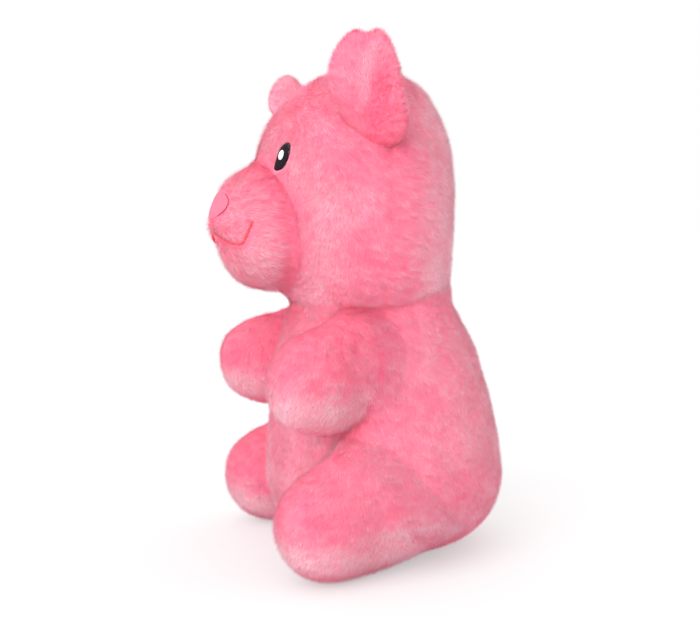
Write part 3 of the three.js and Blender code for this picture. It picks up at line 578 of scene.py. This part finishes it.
def head_tint(place, normal):
    """Deep at the muzzle's seam and the head's seam, pale on the cheeks, the muzzle's end and behind, and
    paler still under the muzzle's end as painted light from below.
    """
    y = place[:, 1]
    onto = outside_head(place) - outside_muzzle(place)
    socket = np.exp(-((onto - 4) / 3.5) ** 2)
    cheek = np.exp(-((onto + 9) / 8) ** 2)
    tip = eased((onto - 8) / 8)
    seam = np.exp(-((y + HEAD_SEAM_AHEAD) / 2.2) ** 2)
    behind = eased((y + 16) / 28)
    # Where the muzzle's end faces down, it is made paler: painted light from below.
    chin = tip * eased(-2 * normal[:, 2])
    return 0.38 - 0.3 * socket + 0.24 * cheek + 0.27 * tip + 0.2 * chin - 0.1 * seam + 0.52 * behind


EYE_SIDE, EYE_HEIGHT, EYE_HALF_WIDTH, EYE_HALF_HEIGHT, EYE_TILT = 23, 182, 3.5, 6.6, np.radians(29)
NOSE_HEIGHT, NOSE_HALF_WIDTH, NOSE_HALF_HEIGHT = 161, 15, 6.5


def eye_share(x, z, side):
    """1 on an eye's outline and less inside it: the eye is an oval whose top tips outward."""
    x, z = x - side * EYE_SIDE, z - EYE_HEIGHT
    across = x * np.cos(EYE_TILT) - side * z * np.sin(EYE_TILT)
    up = z * np.cos(EYE_TILT) + side * x * np.sin(EYE_TILT)
    return np.hypot(across / EYE_HALF_WIDTH, up / EYE_HALF_HEIGHT)


def bare_of_fur(place):
    """Where embroidery takes the fur's place on the face."""
    x, y, z = np.moveaxis(place, -1, 0)
    eyes = np.minimum(eye_share(x, z, 1), eye_share(x, z, -1)) < 1.02
    nose = np.hypot(x / NOSE_HALF_WIDTH, (z - NOSE_HEIGHT) / NOSE_HALF_HEIGHT) < 1.0
    mouth = (np.abs(z - smile_height(x)) < 1.3) & (np.abs(x) < SMILE_HALF)
    return (y < -40) & (eyes | ((y < -60) & (nose | mouth)))


head_skin = cover("head_skin", head_grid, backing)
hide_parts("face_cover", "head_back_cover", "muzzle_cover", "head_filling")
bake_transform(head_skin)
head_pile = lay_pile(head_grid, 23, head_comb, head_tint)
spot = head_pile["place"]
on_muzzle = outside_muzzle(spot) < outside_head(spot)
furred = ~bare_of_fur(spot) & (outside(BODY, spot) > -HIDDEN)
ahead, left = spot[:, 1] < -HEAD_SEAM_AHEAD, spot[:, 0] > 0
panels = {
    "muzzle_pile": on_muzzle,
    "face_left_pile": ahead & ~on_muzzle & left, "face_right_pile": ahead & ~on_muzzle & ~left,
    "head_back_left_pile": ~ahead & ~on_muzzle & left, "head_back_right_pile": ~ahead & ~on_muzzle & ~left,
}
for name, chosen in panels.items():
    panel = pile_piece(name, head_pile, chosen & furred)
    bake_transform(panel)

# Eyes, nose and mouth. Satin stitch in thread, worked through the fabric where the fur is shorn: dark eyes
# with a white glint, a low domed nose with short stitches along its two ends, and one row of slanting
# stitches as a smile.
GLINT_HALF, GLINT_ABOVE = (1.6, 2.3), 0.6


def face_normal(p):
    """Way in which the distance outside the face grows fastest, from differences over half a millimetre."""
    steps = 0.5 * np.eye(3)
    return unit(np.stack([outside_both(p + h) - outside_both(p - h) for h in steps], axis=-1))


def on_face(x, z):
    """Points of the face straight ahead at a distance aside and a height."""
    start = np.stack(np.broadcast_arrays(x, -38.0, z), axis=-1)
    return with_lips(found_along(start, np.array([0.0, -1, 0]) + np.zeros_like(start), 70.0, outside_both))


def stitched_pad(name, middle, half, tilt, rim, crown, material):
    """A domed oval on the face: the rim stands at one height over the skin and the middle at another, and the
    rise between follows the root of 1 - share^2.5. Its underside lies in the skin."""
    share = np.concatenate([np.linspace(0, 1, 8), np.linspace(1, 0, 20)])[:, None]
    dome = rim + (crown - rim) * (1 - np.linspace(1, 0, 20) ** 2.5) ** 0.5
    height = np.concatenate([np.full(8, -0.6), dome])
    turn = np.linspace(0, 2 * np.pi, 56, endpoint=False)
    across, up = half[0] * share * np.cos(turn), half[1] * share * np.sin(turn)
    x = middle[0] + across * np.cos(tilt) + up * np.sin(tilt)
    z = middle[1] + up * np.cos(tilt) - across * np.sin(tilt)
    base = on_face(x, z)
    return cover(name, base + face_normal(base) * height[:, None, None], material)


def stitched_row(name, path, half, pitch, material, pinch=0.28):
    """A row of slanting stitches along a path on the face: an oval section carried along it, whose size
    swells and pinches once for each stitch, a little later on its one side than on its other."""
    along = unit(np.gradient(path, axis=0))
    normal = face_normal(path)
    side = unit(np.cross(along, normal))
    length = np.concatenate([[0], np.cumsum(np.linalg.norm(np.diff(path, axis=0), axis=-1))])
    turn = np.linspace(0, 2 * np.pi, 14, endpoint=False)
    size = 1 - pinch / 2 + pinch / 2 * np.cos(2 * np.pi * (length[:, None] / pitch + 0.35 * np.cos(turn)))
    size = size * np.sqrt(np.clip(np.minimum(length, length[-1] - length) / half[0], 0, 1))[:, None]
    ring = side[:, None] * (half[0] * size * np.cos(turn))[..., None]
    ring = ring + normal[:, None] * (half[1] * size * np.sin(turn))[..., None]
    return cover(name, path[:, None] + ring, material)


satin = bpy.data.node_groups.new("satin_stitch", "ShaderNodeTree")
satin.interface.new_socket("Place", in_out="INPUT", socket_type="NodeSocketVector")
satin.interface.new_socket("Rows", in_out="INPUT", socket_type="NodeSocketFloat")
satin.interface.new_socket("Ridge", in_out="OUTPUT", socket_type="NodeSocketFloat")
satin.interface.new_socket("Fleck", in_out="OUTPUT", socket_type="NodeSocketFloat")
nodes, links = satin.nodes, satin.links
given, put = nodes.new("NodeGroupInput"), nodes.new("NodeGroupOutput")
rows, fleck = nodes.new("ShaderNodeTexWave"), nodes.new("ShaderNodeTexNoise")
rows.bands_direction = "Z"
rows.inputs["Distortion"].default_value = 0.6
fleck.inputs["Scale"].default_value = 700
links.new(given.outputs["Place"], rows.inputs["Vector"])
links.new(given.outputs["Rows"], rows.inputs["Scale"])
links.new(given.outputs["Place"], fleck.inputs["Vector"])
links.new(rows.outputs["Fac"], put.inputs["Ridge"])
links.new(fleck.outputs["Fac"], put.inputs["Fleck"])


def thread_material(name, dark, light, rough, rows, turn):
    """Satin-stitched thread: rows of ridges turned to the stitches' slant, and flecks between two shades."""
    material, shader = new_material(name, rough=rough, specular=0.25)
    nodes, links = material.node_tree.nodes, material.node_tree.links
    where, slant = nodes.new("ShaderNodeTexCoord"), nodes.new("ShaderNodeMapping")
    stitch, shades = nodes.new("ShaderNodeGroup"), nodes.new("ShaderNodeMix")
    bump = nodes.new("ShaderNodeBump")
    stitch.node_tree = satin
    stitch.inputs["Rows"].default_value = rows
    slant.inputs["Rotation"].default_value = (0, turn, 0)
    shades.data_type = "RGBA"
    shades.inputs["A"].default_value = (*linear(*dark), 1)
    shades.inputs["B"].default_value = (*linear(*light), 1)
    bump.inputs["Strength"].default_value = 0.5
    bump.inputs["Distance"].default_value = 0.0003
    links.new(where.outputs["Object"], slant.inputs["Vector"])
    links.new(slant.outputs["Vector"], stitch.inputs["Place"])
    links.new(stitch.outputs["Fleck"], shades.inputs["Factor"])
    links.new(shades.outputs["Result"], shader.inputs["Base Color"])
    links.new(stitch.outputs["Ridge"], bump.inputs["Height"])
    links.new(bump.outputs["Normal"], shader.inputs["Normal"])
    return material


eye_thread = thread_material("eye_thread", (8, 3, 8), (28, 12, 22), 0.7, 320, 0.3)
white_thread = thread_material("white_thread", (236, 230, 232), (255, 252, 252), 0.45, 320, 0.3)
nose_thread = thread_material("nose_thread", (242, 106, 134), (252, 128, 152), 0.85, 300, 1.2)
edge_thread = thread_material("edge_thread", (156, 60, 86), (200, 92, 118), 0.6, 300, 0.6)
mouth_thread = thread_material("mouth_thread", (228, 52, 76), (255, 104, 118), 0.45, 300, 0.9)
for side, name in SIDES:
    middle, half, tilt = (side * EYE_SIDE, EYE_HEIGHT), (EYE_HALF_WIDTH, EYE_HALF_HEIGHT), side * EYE_TILT
    eye = stitched_pad(f"{name}_eye_stitching", middle, half, tilt, 0.3, 1.3, eye_thread)
    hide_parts(f"{name}_eye")
    middle = (side * EYE_SIDE, EYE_HEIGHT + GLINT_ABOVE)
    glint = stitched_pad(f"{name}_glint_stitching", middle, GLINT_HALF, tilt, 1.1, 1.7, white_thread)
    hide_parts(f"{name}_eye_glint")
    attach(eye, "head")
    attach(glint, "head")
half = (NOSE_HALF_WIDTH, NOSE_HALF_HEIGHT)
nose = stitched_pad("nose_stitching", (0, NOSE_HEIGHT), half, 0, 0.3, 0.9, nose_thread)
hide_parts("nose_patch")
turn = np.linspace(-0.85, 0.85, 160)
for side, name in SIDES:
    edge = on_face(side * NOSE_HALF_WIDTH * np.cos(turn), NOSE_HEIGHT + NOSE_HALF_HEIGHT * np.sin(turn))
    edge = edge + face_normal(edge) * 0.6
    nose_edge = stitched_row(f"nose_{name}_edge_stitching", edge, (0.3, 0.26), 2.3, edge_thread, 0.97)
    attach(nose_edge, "head")
aside = np.linspace(-SMILE_HALF, SMILE_HALF, 3001)
run = np.concatenate([[0], np.cumsum(np.hypot(np.diff(aside), np.diff(smile_height(aside))))])
aside = np.interp(np.linspace(0, run[-1], 560), run, aside)
line = on_face(aside, smile_height(aside))
mouth = stitched_row("mouth_stitches", line + face_normal(line) * 0.75, (0.6, 0.5), 1.5, mouth_thread)
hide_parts("mouth_stitching")
for piece, thread in ((nose, "nose_thread"), (mouth, "mouth_thread")):
    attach(piece, "head")

# Ears. Two layers of pile fabric sewn round the rim and turned, cupped at the base and sewn to the head just
# ahead of its seam. They face outward.
EAR = {
    "bottom": -7, "belt": 19, "top": 43, "low_round": 2.4, "high_round": 2.1,
    "width": [(0, 18.5), (20, 17.5), (43, 16)], "front": [(0, 7), (43, 7)], "back": [(0, 7), (43, 7)],
}
EAR_PILE_LENGTH = 3.2
EAR_TIP_AHEAD, EAR_FOOT_BACK = 4, 3
EAR_LEAN, EAR_FACING, EAR_CUP = np.radians(28), np.radians(45), 8


def ear_axes(side):
    """Columns are the ear's own axes: along its hinge, opposite to its face, and up to its tip."""
    lean = Matrix.Rotation(side * EAR_LEAN, 3, "Y")
    return np.array(lean @ Matrix.Rotation(side * EAR_FACING, 3, "Z"))


def cupped(flat):
    """The rims curl ahead as a parabola, more so higher up, and the tip dips between them."""
    x, y, z = np.moveaxis(flat, -1, 0)
    rise = np.clip(z / 21.5, 0, 1)
    dip = 2.5 * np.exp(-((x + 3) / 3.5) ** 2) * eased((z - 28) / 12)
    return np.stack([x, y - EAR_CUP * (x / 16) ** 2 * rise, z - dip], axis=-1)


for side, name in SIDES:
    axes, hinge = ear_axes(side), pivots[f"{name}_ear_fold"]
    ear_grid = cupped(stuffed(EAR, 60, 64))
    height = ear_grid[..., 2]
    foot, tip = eased((26 - height) / 20), eased((height - 16) / 27)
    ear_grid[..., 0] += side * (EAR_FOOT_BACK * foot - EAR_TIP_AHEAD * tip)
    ear_grid = ear_grid @ axes.T + hinge

    def ear_local(place):
        """Points in the ear's own axes, from its hinge."""
        return (place - hinge) @ axes

    def ear_comb(place, normal):
        """Up the ear and outward to its rim."""
        x = ear_local(place)[:, :1] / 16
        return axes[:, 2] * 0.9 + axes[:, 0] * x

    def ear_tint(place, normal):
        """Deep in the cup's rear half as painted shade, pale along the fold down its middle, to the rim and
        behind.
        """
        x, _, z = ear_local(place).T
        rear = side * x
        ahead = eased(-(normal @ axes[:, 1]) * 2)
        # The cup's rear half is deepened: painted shade.
        depth = ahead * np.exp(-((rear - 6) / 5) ** 2) * eased((36 - z) / 16)
        fold = ahead * np.exp(-((rear + 0.5) / 2.2) ** 2) * eased((z - 6) / 8)
        return 0.36 - 0.6 * depth + 0.3 * fold + 0.2 * (1 - ahead)

    ear_skin = cover(f"{name}_ear_skin", ear_grid, backing)
    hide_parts(f"{name}_ear_front", f"{name}_ear_back")
    pile = lay_pile(ear_grid, 31 + side, ear_comb, ear_tint, EAR_PILE_LENGTH)
    ear_pile = pile_piece(f"{name}_ear_pile", pile, slice(None))
    start, end = hinge * MM, (hinge + axes[:, 2] * 14) * MM
    for piece in (ear_skin, ear_pile):
        tuple(start)
        tuple(end)
        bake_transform(piece)

# Arms and legs. Stubby stuffed pads of the same fabric with no paw pads, sewn to the body's side so that they
# point ahead.


def by_body(place):
    """1 where a limb meets the body, and 0 from its front half on."""
    return eased(1 - outside(BODY, place) / 22)


def limb_comb(place, normal):
    """Down, and a little out to the tip, but as on the body near to it."""
    near = by_body(place)[:, None]
    return near * body_comb(place, normal) + (1 - near) * np.array([0, -0.35, -1.0])


def limb_tint(place, normal):
    """Pale where the fur hangs at the side, deeper underneath as painted shade, and as on the body near to
    it.
    """
    # Undersides are darkened: painted shade.
    under = eased(-normal[:, 2] * 2 - 1.3)
    hanging = np.exp(-((normal[:, 2] + 0.4) / 0.35) ** 2)
    near = by_body(place) * eased(2 * normal[:, 2] + 1)
    return near * body_tint(place, normal) + (1 - near) * (0.3 + 0.75 * hanging - 0.3 * under)


for side, name in SIDES:
    for number, (limb, joint, form, slope, droop, sink) in enumerate(LIMBS):
        hinge, axes = pivots[f"{name}_{joint}"], limb_axes(side, slope, droop)
        flat = stuffed(form, 70, 84)
        limb_grid = drawn_in(flat, -side * sink) @ axes.T + hinge
        far = rise(outside(BODY, limb_grid), crease(flat, limb, side))
        limb_grid = found_along(limb_grid, outward(limb_grid), far, joined, 12)
        limb_grid[..., 2] = np.maximum(limb_grid[..., 2], PILE_DEPTH)
        limb_skin = cover(f"{name}_{limb}_skin", limb_grid, backing)
        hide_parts(f"{name}_{limb}_cover", f"{name}_{limb}_filling")
        pile = lay_pile(limb_grid, 51 + 10 * number + side, limb_comb, limb_tint)
        limb_pile = pile_piece(f"{name}_{limb}_pile", pile, outside(BODY, pile["place"]) > -HIDDEN)
        start, end = hinge * MM, (hinge + axes[:, 2] * 22) * MM
        for piece in (limb_skin, limb_pile):
            tuple(start)
            tuple(end)
            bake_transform(piece)

# Squeaker. A blown bulb of soft plastic with a reed pressed into its neck, loose in a pocket of the filling.
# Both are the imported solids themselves, in a milky plastic with faint flow marks.
PLASTICS = {
    "squeaker_bulb": ((226, 226, 218), (246, 246, 240)),
    "squeaker_reed": ((206, 212, 216), (228, 232, 235)),
}
for node, (dark, light) in PLASTICS.items():
    plastic, shader = new_material(f"{node}_plastic", rough=0.4, specular=0.5)
    nodes, links = plastic.node_tree.nodes, plastic.node_tree.links
    where, marks = nodes.new("ShaderNodeTexCoord"), nodes.new("ShaderNodeTexNoise")
    shades = nodes.new("ShaderNodeMix")
    marks.inputs["Scale"].default_value = 120
    shades.data_type = "RGBA"
    shades.inputs["A"].default_value = (*linear(*dark), 1)
    shades.inputs["B"].default_value = (*linear(*light), 1)
    links.new(where.outputs["Object"], marks.inputs["Vector"])
    links.new(marks.outputs["Fac"], shades.inputs["Factor"])
    links.new(shades.outputs["Result"], shader.inputs["Base Color"])
    frame["nodes"][node].material_slots[0].material = plastic
